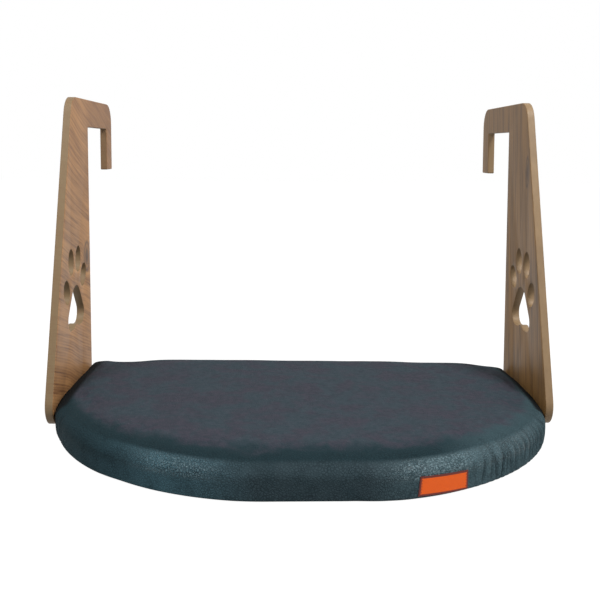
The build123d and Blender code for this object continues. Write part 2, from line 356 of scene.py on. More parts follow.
def copy_of_node(name, node_name):
    """A new object with a copy of a node's mesh, its split vertices joined."""
    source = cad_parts[node_name].data
    mesh = bpy.data.meshes.new(name)
    bm = bmesh.new()
    bm.from_mesh(source)
    bmesh.ops.remove_doubles(bm, verts=bm.verts, dist=0.002 * MM)
    bm.to_mesh(mesh)
    bm.free()
    mesh.materials.clear()
    return make_object(name, mesh)


def make_object(name, mesh):
    """A new object with a mesh, in the scene."""
    shown = bpy.data.objects.new(name, mesh)
    bpy.context.scene.collection.objects.link(shown)
    return shown


def smooth_shaded(shown, sharp_degrees=None):
    """Smooth shading, with the edges sharper than an angle, where it is given, kept sharp."""
    mesh = shown.data
    mesh.polygons.foreach_set("use_smooth", [True] * len(mesh.polygons))
    if sharp_degrees is not None:
        mesh.set_sharp_from_angle(angle=math.radians(sharp_degrees))


def finish_piece(shown, material, slot, *nodes):
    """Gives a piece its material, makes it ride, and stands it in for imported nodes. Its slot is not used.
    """
    shown.data.materials.clear()
    shown.data.materials.append(material)
    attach(shown, ROOT)
    if nodes:
        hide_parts(*nodes)
    return shown


def dress_node(node_name, material):
    """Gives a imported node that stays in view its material."""
    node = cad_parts[node_name]
    if not node.material_slots:
        node.data.materials.append(material)
    for material_slot in node.material_slots:
        material_slot.link = "OBJECT"
        material_slot.material = material


class CATBED_OT_side_panels(bpy.types.Operator):
    """Builds both hook panels with eased rims and their own grain"""

    bl_idname = "cat_bed.side_panels"
    bl_label = "Side panels"

    def execute(self, context):
        settings = context.scene.cat_bed_panels
        for hand in BOARD_FIGURES:
            board = copy_of_node(f"{hand}_hook_board", f"{hand}_side_panel")
            bm = bmesh.new()
            bm.from_mesh(board.data)
            flat, sharp = math.radians(0.5), math.radians(60)
            bmesh.ops.dissolve_limit(bm, angle_limit=flat, verts=bm.verts, edges=bm.edges)
            rims = [e for e in bm.edges if len(e.link_faces) == 2 and e.calc_face_angle() > sharp]
            bmesh.ops.bevel(
                bm,
                geom=rims,
                offset=settings.rim_bevel,
                segments=2,
                profile=0.5,
                affect="EDGES",
                clamp_overlap=True,
            )
            bmesh.ops.triangulate(bm, faces=[f for f in bm.faces if len(f.verts) > 4])
            for vert in bm.verts:
                vert.co.x -= math.tan(settings.lean) * (vert.co.z - BOLT_HEIGHT)
            bm.to_mesh(board.data)
            bm.free()
            smooth_shaded(board, 35)
            tones = [getattr(settings, f"{hand}_{tone}") for tone in ("light", "dark", "edge", "knot")]
            finish_piece(board, wood_material(hand, *tones), "panel_wood", f"{hand}_side_panel")
        return {"FINISHED"}


# Counts of points along each stretch of the seat's outline, from the front left of its flat
FLAT_STEPS = 12
FRONT_ARC_STEPS = 96
SIDE_STEPS = 24
BACK_ARC_STEPS = 10
BACK_STEPS = FLAT_STEPS + FRONT_ARC_STEPS - BACK_ARC_STEPS

# Counts of rings up the cover's rolled edge, and up the filling's
ROLL_STEPS = 12
FILLING_STEPS = 7

# Shares of a step inward that the back and the sides take, how much rounder it makes the back corners, and
# the most of its room that an arc may take
BACK_RUN_SHARE = 0.45
SIDE_RUN_SHARE = 0.45
BACK_SOFTENING_SHARE = 0.25
RADIUS_LIMIT_SHARE = 0.9

# How far behind the centre of its arc each side's shift ends, and the stretch over which it fades
RIGHT_SHIFT_END = 17 * MM
LEFT_SHIFT_END = -23 * MM
SHIFT_FADE = 60 * MM

# The share of the arc's radius at which the bulges start, how far behind its centre they end, and the
# stretch over which they fade
SWELL_START = 0.6
SWELL_END = 10 * MM
SWELL_FADE = 30 * MM

# How the height shares below are weighed: a step in depth against one across, the least square of a
# distance, and the power of nearness, and the rise over the foot in which they take hold
DEPTH_WEIGHT = 1.3
NEAREST = 0.01
NEARNESS = 1.6
FOOT_RISE = 12 * MM

# The cover is free before the boards, and its gap to them opens above its foot
BOARD_FADE = 25 * MM
FREE_ROOM = 10 * MM
GAP_START = 5 * MM
GAP_FADE = 7 * MM

# Thickness of the cover and of the wadding, and how deep below the cover's face the wadding and the foam
# lie, with the height above the foam's underside at which the wall of each starts
COVER_THICKNESS = 1.1 * MM
WADDING_THICKNESS = 2.9 * MM
WADDING_DEPTH = 1.35 * MM
WADDING_FOOT = 0.1 * MM
FOAM_DEPTH = 4.6 * MM
FOAM_FOOT = 0.4 * MM

# Passes that even out the grid over the top, the lumps' waves in a metre, the slice of the noise that
# they follow, and the stretch in which they rise
GRID_PASSES = 60
LUMP_WAVES = 9
LUMP_SLICE = 0.3
LUMP_FADE = 25 * MM

# Height over which the cloth stays sewn down, the frames it takes, and the seed of the gathers
SEWN_RISE = 9 * MM
CLOTH_FRAMES = 20
GATHER_SEED = 5

# The gathers' share of their depth at the foot, where they deepen and fade up the wall, the height at which
# a leaning one keeps its bearing, and the part of each that stands out as a ridge
FOOT_SHARE = 0.3
GATHER_FOOT = 9 * MM
GATHER_TOP = 17 * MM
GATHER_FADE = 16 * MM
LEAN_HEIGHT = 12 * MM
RIDGE_SHARE = 0.35

# Where the cover is gathered, as two bearings in degrees and a share of the full depth, and the degrees
# over which that fades in at the first and out at the last
GATHER_ZONES = ((28, 84, 1.0), (-86, -60, 0.6))
FADE_IN = 4
FADE_OUT = 14

# The stuffing's height against the even form: shares of the half width and of the depth, then the factor
HEIGHT_SHARES = (
    (0.0, 0.0, 1.0),
    (-0.6, 0.1, 1.0),
    (0.6, 0.1, 1.0),
    (-1.0, 0.7, 0.98),
    (-1.0, 1.0, 0.95),
    (-0.84, 1.0, 0.87),
    (-0.62, 1.0, 0.975),
    (-0.3, 1.0, 0.96),
    (0.0, 1.0, 0.935),
    (0.3, 1.0, 0.92),
    (0.7, 1.0, 0.87),
    (1.0, 1.0, 0.7),
    (1.0, 0.7, 0.82),
    (1.0, 0.47, 0.76),
    (0.9, 0.3, 0.98),
    (-1.0, 0.45, 0.9),
    (-0.9, 0.28, 1.0),
    (0.0, 0.5, 1.0),
)

# How far the cover bulges beyond its even outline, by the bearing in degrees from the front, in millimetres
PLAN_SWELLS = (
    (-90, 1.0),
    (-77, 2.4),
    (-71, 1.5),
    (-58, 0.6),
    (-45, 0.2),
    (-37, -1.3),
    (-28, -0.5),
    (-16, 0.3),
    (-8, 0.9),
    (2, 0.1),
    (7, 2.2),
    (12, 3.4),
    (21, 3.1),
    (32, 1.9),
    (47, 1.1),
    (63, 0.1),
    (77, -1.0),
    (90, -1.2),
)


def smooth_share(values):
    """Values clipped to 0 and 1, and eased at both ends."""
    values = np.clip(values, 0, 1)
    return values * values * (3 - 2 * values)


class SeatPlan:
    """The seat's plan in metres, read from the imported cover, and how the real cover sits on it."""

    def __init__(self, settings):
        low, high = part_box("seat_cover")
        self.half, self.front, self.back = high.x, low.y, high.y
        self.underside = low.z
        self.flat = settings.front_flat
        self.back_radius = settings.back_radius
        self.shift = settings.front_shift
        self.radius = min(self.half - self.flat / 2, (self.back - self.front) * RADIUS_LIMIT_SHARE)
        self.centre_y = self.front + self.radius

    def arc(self, centre, radius, start, count):
        """Points along a quarter turn from a start angle in degrees, without its last one."""
        turns = np.radians(start + 90 * np.arange(count) / count)
        return np.stack([centre[0] + radius * np.cos(turns), centre[1] + radius * np.sin(turns)], 1)

    def line(self, start, end, count):
        """Points along a straight line, without its last one."""
        shares = (np.arange(count) / count)[:, None]
        return np.array(start) * (1 - shares) + np.array(end) * shares

    def ring(self, inset, draw_in=0.0):
        """The even outline, inset alike all round and drawn in further, less along the sides and the back."""
        half = self.half - inset - draw_in * SIDE_RUN_SHARE
        front = self.front + inset + draw_in
        back = self.back - inset - draw_in * BACK_RUN_SHARE
        radius = min(half - self.flat / 2, (back - front) * RADIUS_LIMIT_SHARE)
        small_limit = (back - front - radius) * RADIUS_LIMIT_SHARE
        small = min(self.back_radius + draw_in * BACK_SOFTENING_SHARE, small_limit)
        arcs = half - radius
        return np.concatenate(
            [
                self.line((-arcs, front), (arcs, front), FLAT_STEPS),
                self.arc((arcs, front + radius), radius, -90, FRONT_ARC_STEPS),
                self.line((half, front + radius), (half, back - small), SIDE_STEPS),
                self.arc((half - small, back - small), small, 0, BACK_ARC_STEPS),
                self.line((half - small, back), (small - half, back), BACK_STEPS),
                self.arc((small - half, back - small), small, 90, BACK_ARC_STEPS),
                self.line((-half, back - small), (-half, front + radius), SIDE_STEPS),
                self.arc((-arcs, front + radius), radius, 180, FRONT_ARC_STEPS),
            ]
        )

    def depth_in(self, points):
        """How far in from the outline each point lies, the sides and the back counted by their shares."""
        x, y = np.abs(points[:, 0]), points[:, 1]
        out = np.hypot(np.maximum(x - self.flat / 2, 0), np.minimum(y - self.centre_y, 0))
        run_share = 1 - (1 - SIDE_RUN_SHARE) * (1 - np.cos(np.radians(self.bearings(points))))
        ways = np.stack([(self.back - y) / BACK_RUN_SHARE, (self.radius - out) / run_share], 1)
        nearest = ways.min(1)
        blend = 14 * MM
        eased = nearest - blend * np.log(np.exp(-(ways - nearest[:, None]) / blend).sum(1))
        return np.maximum(eased, 0)

    def bearings(self, points):
        """Bearing in degrees of each point round its front corner: 0 at the front, 90 at the sides."""
        across = np.maximum(np.abs(points[:, 0]) - self.flat / 2, 0)
        before = np.maximum(self.centre_y - points[:, 1], 0)
        return np.degrees(np.arctan2(across, before)) * np.sign(points[:, 0])

    def settled(self, places, with_heights=True):
        """Moves points of the even form to where the hand-stuffed seat has them."""
        places = np.array(places, dtype=float)
        x, y, z = places.T
        ahead = np.where(x > 0, self.centre_y + RIGHT_SHIFT_END, self.centre_y + LEFT_SHIFT_END)
        front_share = smooth_share((ahead - y) / SHIFT_FADE)
        beyond = np.maximum(np.abs(x) - self.flat / 2, 0)
        reach = np.hypot(beyond, np.maximum(self.centre_y - y, 0)) / self.radius
        bearing = self.bearings(places)
        swell = np.interp(bearing, *zip(*PLAN_SWELLS)) * MM
        swell *= smooth_share((reach - SWELL_START) / (1 - SWELL_START))
        swell *= smooth_share((self.centre_y + SWELL_END - y) / SWELL_FADE)
        turn = np.radians(np.abs(bearing))
        moved_x = x + self.shift * front_share + np.sign(x) * swell * np.sin(turn)
        moved_y = y - swell * np.cos(turn)
        moved_x = np.clip(moved_x, -np.maximum(self.half, -x), np.maximum(self.half, x))
        moved_z = z
        if with_heights:
            shares = np.array(HEIGHT_SHARES)
            u, v = x / self.half, (y - self.front) / (self.back - self.front)
            away = (u[:, None] - shares[:, 0]) ** 2 + (DEPTH_WEIGHT * (v[:, None] - shares[:, 1])) ** 2
            weights = (away + NEAREST) ** -NEARNESS
            factor = (weights * shares[:, 2]).sum(1) / weights.sum(1)
            rise = np.maximum(z - self.underside, 0)
            moved_z = z + rise * (factor - 1) * smooth_share(rise / FOOT_RISE)
        return np.stack([moved_x, moved_y, moved_z], 1)

    def kept_clear(self, places, gap):
        """Draws the wall in where it would come nearer to a board than the gap."""
        places = np.array(places, dtype=float)
        board_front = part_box("left_side_panel")[0].y
        beside = smooth_share((places[:, 1] - board_front + BOARD_FADE) / BOARD_FADE)
        above_foot = smooth_share((places[:, 2] - self.underside - GAP_START) / GAP_FADE)
        limit = self.half - gap * above_foot + (1 - beside) * FREE_ROOM
        places[:, 0] = np.clip(places[:, 0], -limit, limit)
        return places


def patch_grid(outline):
    """A grid of points inside a closed outline whose four corners lie halfway along its arcs."""
    total = len(outline)
    across = FLAT_STEPS + FRONT_ARC_STEPS
    up = (total - 2 * across) // 2
    shifted = np.roll(np.arange(total), FRONT_ARC_STEPS // 2)
    front = shifted[: across + 1]
    right = shifted[across : across + up + 1]
    back = shifted[across + up : 2 * across + up + 1][::-1]
    left = np.append(shifted[2 * across + up :], shifted[0])[::-1]
    s = np.linspace(0, 1, across + 1)[None, :, None]
    t = np.linspace(0, 1, up + 1)[:, None, None]
    bottom, top = outline[front][None], outline[back][None]
    west, east = outline[left][:, None], outline[right][:, None]
    corners = (
        (1 - s) * (1 - t) * outline[front[0]]
        + s * (1 - t) * outline[front[-1]]
        + (1 - s) * t * outline[back[0]]
        + s * t * outline[back[-1]]
    )
    grid = (1 - t) * bottom + t * top + (1 - s) * west + s * east - corners
    for _ in range(GRID_PASSES):
        grid[1:-1, 1:-1] = (grid[:-2, 1:-1] + grid[2:, 1:-1] + grid[1:-1, :-2] + grid[1:-1, 2:]) / 4
    ids = np.full(grid.shape[:2], -1)
    ids[0], ids[-1], ids[:, 0], ids[:, -1] = front, back, left, right
    return grid, ids


def seat_form(name, plan, rings, patch_height, closed=False, insets=None):
    """A mesh of stacked (points, heights) rings with a grid over the top, and one below if closed, settled.

    Where each ring's inset is given, every point keeps its own, in millimetres, for the material. It is
    the distance in from the wall's top, and below that top minus the distance down to the point.
    """
    count = len(rings[0][0])
    points = [np.column_stack([ring, np.broadcast_to(height, count)]) for ring, height in rings]
    faces = []
    for level in range(len(rings) - 1):
        low, high = level * count, (level + 1) * count
        faces += [(low + i, low + (i + 1) % count, high + (i + 1) % count, high + i) for i in range(count)]
    ends = [(len(rings) - 1, patch_height, False)] + ([(0, None, True)] if closed else [])
    for level, height_of, flipped in ends:
        grid, ids = patch_grid(rings[level][0])
        start = sum(len(p) for p in points)
        table = np.where(ids >= 0, ids + level * count, -1)
        inner = grid[1:-1, 1:-1].reshape(-1, 2)
        if height_of is None:
            heights = np.full(len(inner), float(np.mean(rings[level][1])))
        else:
            heights = height_of(inner)
        table[1:-1, 1:-1] = start + np.arange(len(inner)).reshape(table.shape[0] - 2, table.shape[1] - 2)
        points.append(np.column_stack([inner, heights]))
        for row in range(table.shape[0] - 1):
            for column in range(table.shape[1] - 1):
                near, far = table[row], table[row + 1]
                corner = (near[column], near[column + 1], far[column + 1], far[column])
                faces.append(tuple(int(c) for c in (corner[::-1] if flipped else corner)))
    mesh = bpy.data.meshes.new(name)
    mesh.from_pydata(plan.settled(np.concatenate(points)).tolist(), [], faces)
    mesh.validate()
    mesh.update()
    if insets:
        inner = np.maximum(plan.depth_in(points[-1][:, :2]), insets[-1])
        kept = np.concatenate([np.repeat(insets, count), inner]) / MM
        mesh.attributes.new("inset", "FLOAT", "POINT").data.foreach_set("value", kept)
    return make_object(name, mesh)


class StuffedTop:
    """Heights of the seat's stuffed top, and of the layers below it."""

    def __init__(self, settings, plan, skin=0.0):
        self.settings, self.plan, self.skin = settings, plan, skin

    def crown(self, depth):
        """How far the filling has risen at a distance in from the edge."""
        return self.settings.crown_rise * (1 - np.exp(-depth / self.settings.crown_reach))

    def draw_ins(self, steps):
        """How far in each ring of the rolled edge lies."""
        return [self.settings.roll_run * (1 - math.cos(turn)) for turn in np.linspace(0, math.pi / 2, steps)]

    def rings(self, steps):
        """Rings up the rolled edge, from the top of the wall to the rim."""
        made = []
        for turn, draw_in in zip(np.linspace(0, math.pi / 2, steps), self.draw_ins(steps)):
            rise = self.settings.roll_rise * math.sin(turn)
            height = self.settings.wall_top + rise + self.crown(draw_in) - self.skin
            made.append((self.plan.ring(self.skin, draw_in), height))
        return made

    def over(self, points):
        """Heights over the middle of the seat, with the low lumps of its wadding."""
        depth = np.maximum(self.plan.depth_in(points) - self.skin, self.settings.roll_run)
        waves = points * LUMP_WAVES
        lumps = np.array([noise.noise(Vector((x, y, LUMP_SLICE))) for x, y in waves])
        lumps *= self.settings.lump_rise
        fade = smooth_share((depth - self.settings.roll_run) / LUMP_FADE)
        return self.settings.wall_top + self.settings.roll_rise + self.crown(depth) - self.skin + lumps * fade


def mesh_places(mesh, kind="co"):
    """The places of a mesh's points, or their normals, in rows."""
    values = np.empty(len(mesh.vertices) * 3)
    mesh.vertices.foreach_get(kind, values)
    return values.reshape(-1, 3)


def set_places(mesh, places):
    """Moves a mesh's points to new places."""
    mesh.vertices.foreach_set("co", places.ravel())
    mesh.update()


def evaluated_mesh(shown):
    """A new mesh with the object's modifiers applied."""
    depsgraph = bpy.context.evaluated_depsgraph_get()
    return bpy.data.meshes.new_from_object(shown.evaluated_get(depsgraph))


def blown_up(shown, plan, settings):
    """Blows the cover up as cloth sewn down at its foot, and keeps its outward swell up to a cap."""
    rest = mesh_places(shown.data)
    trial = make_object("cover_trial", shown.data.copy())
    sewn = trial.vertex_groups.new(name="sewn")
    held = 1 - smooth_share((rest[:, 2] - plan.underside - SEWN_RISE) / SEWN_RISE)
    for index, weight in enumerate(held):
        if weight > 0:
            sewn.add([index], float(weight), "REPLACE")
    cloth = trial.modifiers.new("cloth", "CLOTH")
    cloth.settings.quality = 5
    cloth.settings.mass = 0.3
    cloth.settings.tension_stiffness = cloth.settings.compression_stiffness = 15
    cloth.settings.bending_stiffness = 0.5
    cloth.settings.use_pressure = True
    cloth.settings.uniform_pressure_force = 4
    cloth.settings.vertex_group_mass = "sewn"
    cloth.settings.effector_weights.gravity = 0
    cloth.point_cache.frame_start, cloth.point_cache.frame_end = 1, CLOTH_FRAMES
    for step in range(1, CLOTH_FRAMES + 1):
        bpy.context.scene.frame_set(step)
    swollen = evaluated_mesh(trial)
    moves = mesh_places(swollen) - rest
    bpy.context.scene.frame_set(1)
    bpy.data.objects.remove(trial, do_unlink=True)
    normals = mesh_places(shown.data, "normal")
    outward = np.maximum((moves * normals).sum(1), 0)
    kept = settings.swell * np.tanh(outward / settings.swell)
    set_places(shown.data, plan.kept_clear(rest + normals * kept[:, None], settings.side_gap))


def gathered(shown, plan, settings, even=False):
    """Presses the gathers into the wall and rolled edge at both front corners, or evenly into a filling."""
    places = mesh_places(shown.data)
    bearing = plan.bearings(places)
    height = places[:, 2] - plan.underside
    high = FOOT_SHARE + (1 - FOOT_SHARE) * smooth_share(height / GATHER_FOOT)
    high *= 1 - smooth_share((height - GATHER_TOP) / GATHER_FADE)
    rng = np.random.default_rng(GATHER_SEED)
    push = np.zeros(len(places))
    zone = np.zeros(len(places))
    pitch = np.degrees(settings.gather_pitch / plan.radius)
    for first, last, depth_share in GATHER_ZONES:
        faded = smooth_share((bearing - first) / FADE_IN) * smooth_share((last - bearing) / FADE_OUT)
        zone += depth_share * faded
        middle = first + pitch / 2
        # Each gather differs a little in its place, width, depth and lean
        while middle < last:
            spot = middle + rng.uniform(-0.25, 0.25) * pitch
            width = pitch * rng.uniform(0.22, 0.34)
            ends = smooth_share((spot - first) / FADE_IN) * smooth_share((last - spot) / FADE_OUT)
            depth = settings.gather_depth * depth_share * rng.uniform(0.45, 1.0) * ends
            lean = rng.uniform(-0.03, 0.05) * np.sign(spot) / MM
            away = bearing - spot - lean * (height - LEAN_HEIGHT)
            sides = RIDGE_SHARE * np.exp(-((away / width / 2) ** 2))
            push += depth * (np.exp(-((away / width) ** 2)) - sides)
            middle += pitch * rng.uniform(0.8, 1.25)
    # Each point's share of a gather's depth, which the cover's material darkens as painted shade
    fold = shown.data.attributes.new("fold", "FLOAT", "POINT")
    fold.data.foreach_set("value", np.clip(push * high / settings.gather_depth, 0, 1))
    # The board's edge stands right behind the cover, so a part of each gather stands out as a ridge
    ridges = zone * settings.gather_depth * RIDGE_SHARE
    push = 2 * ridges if even else push - ridges
    turn = np.radians(np.abs(bearing))
    outward = np.stack([np.sign(places[:, 0]) * np.sin(turn), -np.cos(turn), np.zeros(len(places))], 1)
    set_places(shown.data, places - outward * (push * high)[:, None])


def leather_material(settings):
    """Coated fabric with a pressed, distressed leather grain: cloudy colour, satin lights, fine crackle,
    painted glints.
    """
    material, node, place = new_material("distressed_imitation_leather")
    x, y = (node("SeparateXYZ", (place,), axis) for axis in "XY")
    sideways = node("Math", (x,), operation="ABSOLUTE")
    inset, fold = (node("Attribute", output="Fac", attribute_name=name) for name in ("inset", "fold"))
    shoulder, side, middle, painted_light = settings.shoulder, settings.side, settings.middle, settings.painted_light
    # Clouds about 14 mm across, as the coating is wiped by hand, flecks of a few millimetres, the warp of the
    # pressed cells, patches with more cracks, specks for the painted glints, and the coating's fine tooth
    clouds, flecks, warp, patches, specks, tooth = (
        node(
            "TexNoise",
            {"Vector": place, "Scale": 1 / size, "Detail": detail, "Roughness": rough, "Distortion": twist},
        )
        for size, detail, rough, twist in (
            (26, 3.0, 0.6, 0.4),
            (5, 3.0, 0.65, 0.0),
            (5, 2.0, 0.5, 0.0),
            (11, 2.0, 0.5, 0.0),
            (1.7, 2.0, 0.6, 0.0),
            (1.6, 2.0, 0.6, 0.0),
        )
    )
    # Pressed grain of about 1 mm cells, drawn at twice that so that it shows
    warped = node("VectorMath", (place, warp))
    cells = node("TexVoronoi", {"Vector": warped, "Scale": 1 / 2.2}, feature="DISTANCE_TO_EDGE")
    # Each share is a product of eased measures, given as (measure, from, to, share at from, share at to):
    # cracks open where the cover bends and hardly show on its flat top, the rolled edge is rubbed to a satin
    # between its ends, pale specks on it are painted glints, painted shade darkens the left end, and painted
    # shade marks the narrow gaps beside the boards
    shares = {}
    for name, measures in {
        "cracks": ((cells, 0, 0.22, 1, 0), (patches, 0.35, 0.7, 0.22, 0.5), (inset, 14, 30, 1, 0.22)),
        "satin": (
            (inset, -6, 0),
            (inset, 7, 14, 1, 0),
            (x, -168, -118),
            (x, 225, 185),
            (sideways, 35, 85, 0.12),
        ),
        "painted_glints": (
            (specks, 0.48, 0.66),
            (x, -60, 60, 0.17, 0.34),
            (sideways, 55, 100, 0.12),
            (sideways, 150, 118, 0.12),
        ),
        "left_end_shade": ((x, -118, -175), (inset, -9, 1, 0, 0.6)),
        "right_gap_shade": ((y, -78, -68), (x, 227, 233)),
        "left_gap_shade": ((y, -78, -68), (x, -223, -229.5)),
    }.items():
        share = 1.0
        for measure in measures:
            eased = node("MapRange", measure, **EASED)
            share = node("Math", (share, eased), operation="MULTIPLY")
        shares[name] = share
    cracks, satin = shares["cracks"], shares["satin"]
    # Painted shade in the narrow gaps beside the boards
    gap_shade = node("Math", (shares["right_gap_shade"], shares["left_gap_shade"]))
    # Painted shade in the gathers' folds
    fold_shade = node("Math", (fold, 1.3), operation="MULTIPLY", use_clamp=True)
    # Painted glints: pale specks kept to the satin of the rolled edge, where the softboxes' highlights fall
    painted_glints = shares["painted_glints"]
    for _ in range(2):
        painted_glints = node("Math", (painted_glints, satin), operation="MULTIPLY")
    # The wall's colours from its left end to its right one, 490 mm apart: painted shade darkens the left end,
    # the middle is a greyer teal, and painted light pales the right side, which darkens again at its end
    along = node("Math", (x, 1 / 490, 0.5), operation="MULTIPLY_ADD")
    wall_stops = (
        (0.0, shoulder),
        (0.12, between(shoulder, side, 0.25)),
        (0.27, side),
        (0.42, middle),
        (0.6, middle),
        (0.74, painted_light),
        (0.88, between(painted_light, shoulder, 0.2)),
        (1.0, between(painted_light, shoulder, 0.45)),
    )
    colours = {"top": settings.top, "band": shoulder, "wall": node("ValToRGB", (along,), stops=wall_stops)}
    # The top is patchy and flecked, the band where it turns over is dark and paler to the right as painted
    # light, and the wall is wiped unevenly
    for layer, over, measure in (
        ("top", settings.patch, (clouds, 0.38, 0.62)),
        ("top", shoulder, (flecks, 0.3, 0.7, 0, 0.42)),
        ("band", painted_light, (x, 100, 160, 0, 0.42)),
        ("wall", shoulder, (clouds, 0.44, 0.64, 0, 0.3)),
    ):
        eased = node("MapRange", measure, **EASED)
        colours[layer] = node("Mix", {0: eased, 6: colours[layer], 7: over}, 2, **COLOURS)
    # The limit of the band and the top wanders with the clouds
    wandering = node("Math", (clouds, 32.0, inset), operation="MULTIPLY_ADD")
    on_top = node("MapRange", (wandering, 36, 56), **EASED)
    turned_over = node("Mix", {0: on_top, 6: colours["band"], 7: colours["top"]}, 2, **COLOURS)
    above_wall = node("MapRange", (inset, 7, 13.5), **EASED)
    colour = colours["wall"]
    # Painted shade darkens the left end, the gathers and the gaps beside the boards, and painted glints lie
    # over the cracks
    for share, over in (
        (shares["left_end_shade"], shoulder),
        (above_wall, turned_over),
        (fold_shade, settings.crackle_and_shade),
        (gap_shade, dimmed(settings.crackle_and_shade, 0.2)),
        (cracks, settings.crackle_and_shade),
        (painted_glints, settings.painted_glint),
    ):
        colour = node("Mix", {0: share, 6: colour, 7: over}, 2, **COLOURS)
    # Dull on the top and the wall, duller in the cracks, and satin on the rolled edge
    roughness = node("Math", (satin, -0.54, 0.82), operation="MULTIPLY_ADD")
    roughness = node("Math", (cracks, 0.2, roughness), operation="MULTIPLY_ADD", use_clamp=True)
    plateau = node("MapRange", (cells, 0, 0.22), **EASED)
    height = node("Math", (tooth, 0.4), operation="MULTIPLY")
    height = node("Math", (plateau, 0.6, height), operation="MULTIPLY_ADD")
    strength = node("Math", (satin, 0.5, 0.85), operation="MULTIPLY_ADD")
    give_surface(node, colour, height, 0.5, strength, roughness=roughness, ior=1.5, specular_ior_level=0.09)
    return material


class CATBED_OT_seat_cover(bpy.types.Operator):
    """Builds the stuffed cover: a turned-under margin, an upright wall, a rolled edge and a crown"""

    bl_idname = "cat_bed.seat_cover"
    bl_label = "Seat cover"

    def execute(self, context):
        settings = context.scene.cat_bed_seat
        plan = SeatPlan(settings)
        top = StuffedTop(settings, plan)
        base = plan.underside
        # The margin under the board and the turn round its edge, as (inset, rise) in millimetres, and the
        # wall's rings, as shares of its height
        turned_under = ((32, 0), (22, 0), (12, 0), (5, 0), (2.0, 0), (0.8, 0.3), (0.2, 1.0), (0, 2.2))
        wall_shares = (0.2, 0.45, 0.7, 0.88)
        rings = [(plan.ring(inset * MM), base + rise * MM) for inset, rise in turned_under]
        wall_foot = rings[-1][1]
        for share in wall_shares:
            rings.append((plan.ring(0), wall_foot + (settings.wall_top - wall_foot) * share))
        insets = [height - settings.wall_top for _, height in rings] + top.draw_ins(ROLL_STEPS)
        rings += top.rings(ROLL_STEPS)
        cover = seat_form("leather_seat_cover", plan, rings, top.over, insets=insets)
        blown_up(cover, plan, settings)
        finer = cover.modifiers.new("finer", "SUBSURF")
        finer.levels = finer.render_levels = 1
        rounded = evaluated_mesh(cover)
        cover.modifiers.clear()
        cover.data = rounded
        gathered(cover, plan, settings)
        skin = cover.modifiers.new("skin", "SOLIDIFY")
        skin.thickness = COVER_THICKNESS
        skin.offset = -1
        smooth_shaded(cover)
        finish_piece(cover, leather_material(settings), "cover", "seat_cover")
        return {"FINISHED"}


def foam_material():
    """Cut polyurethane foam: cream, matt, with open pores."""
    material, node, place = new_material("cut_polyurethane_foam")
    # Pores of about 1 mm
    pores = node("TexVoronoi", {"Vector": place, "Scale": 1 / 1.2})
    colour = node("ValToRGB", (pores,), stops=((0.1, linear("C9B98A")), (0.6, linear("EFE3BE"))))
    give_surface(node, colour, pores, 0.4, roughness=0.95, ior=1.45)
    return material


def wadding_material():
    """Carded polyester wadding: white, soft and fibrous."""
    material, node, place = new_material("carded_polyester_wadding")
    # Fibres in tufts a few millimetres across
    tuft = {"Vector": place, "Scale": 1 / 4, "Detail": 4.0, "Roughness": 0.7, "Distortion": 1.5}
    fibres = node("TexNoise", tuft)
    colour = node("ValToRGB", (fibres,), stops=((0.3, linear("CFCFCB")), (0.7, linear("F4F3EF"))))
    give_surface(
        node, colour, fibres, 1.0, 0.6, roughness=1.0, ior=1.45, sheen_weight=0.4, sheen_roughness=0.5
    )
    return material


class CATBED_OT_filling(bpy.types.Operator):
    """Builds the foam pad and the wadding under the cover"""

    bl_idname = "cat_bed.filling"
    bl_label = "Filling"

    def execute(self, context):
        settings = context.scene.cat_bed_seat
        plan = SeatPlan(settings)
        low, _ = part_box("foam_pad")
        foam_top = StuffedTop(settings, plan, FOAM_DEPTH)
        rings = [(plan.ring(FOAM_DEPTH), low.z), (plan.ring(FOAM_DEPTH), low.z + FOAM_FOOT)]
        rings += foam_top.rings(FILLING_STEPS)[1:]
        foam = seat_form("foam_block", plan, rings, foam_top.over, closed=True)
        gathered(foam, plan, settings, even=True)
        smooth_shaded(foam)
        finish_piece(foam, foam_material(), "foam", "foam_pad")
        wadding_top = StuffedTop(settings, plan, WADDING_DEPTH)
        rings = [(plan.ring(WADDING_DEPTH), low.z + WADDING_FOOT)] + wadding_top.rings(FILLING_STEPS)
        wadding = seat_form("wadding_sheet", plan, rings, wadding_top.over)
        gathered(wadding, plan, settings, even=True)
        loft = wadding.modifiers.new("loft", "SOLIDIFY")
        loft.thickness = WADDING_THICKNESS
        loft.offset = -1
        smooth_shaded(wadding)
        finish_piece(wadding, wadding_material(), "wadding", "wadding_layer")
        return {"FINISHED"}


def lining_material():
    """Spun-bonded lining: black, dull, with a faint bonded dot pattern."""
    material, node, place = new_material("spunbond_lining")
    # Bond points 1.5 mm apart
    dots = node("TexVoronoi", {"Vector": place, "Scale": 1 / 1.5, "Randomness": 0.2})
    colour = node("ValToRGB", (dots,), stops=((0.2, linear("0C0C0D")), (0.5, linear("191A1C"))))
    give_surface(node, colour, dots, 0.15, roughness=0.9, ior=1.45, specular_ior_level=0.2)
    return material


class CATBED_OT_lining(bpy.types.Operator):
    """Builds the lining sheet stapled over the cover's margin"""

    bl_idname = "cat_bed.lining"
    bl_label = "Underside lining"

    def execute(self, context):
        low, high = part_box("underside_lining")
        plan = SeatPlan(context.scene.cat_bed_seat)
        inset = plan.half - high.x
        outline = plan.ring(inset)
        thickness = high.z - low.z
        rings = [(outline, low.z), (outline, low.z + thickness)]
        lining = seat_form("lining_sheet", plan, rings, None, closed=True)
        smooth_shaded(lining, 40)
        finish_piece(lining, lining_material(), "lining", "underside_lining")
        return {"FINISHED"}


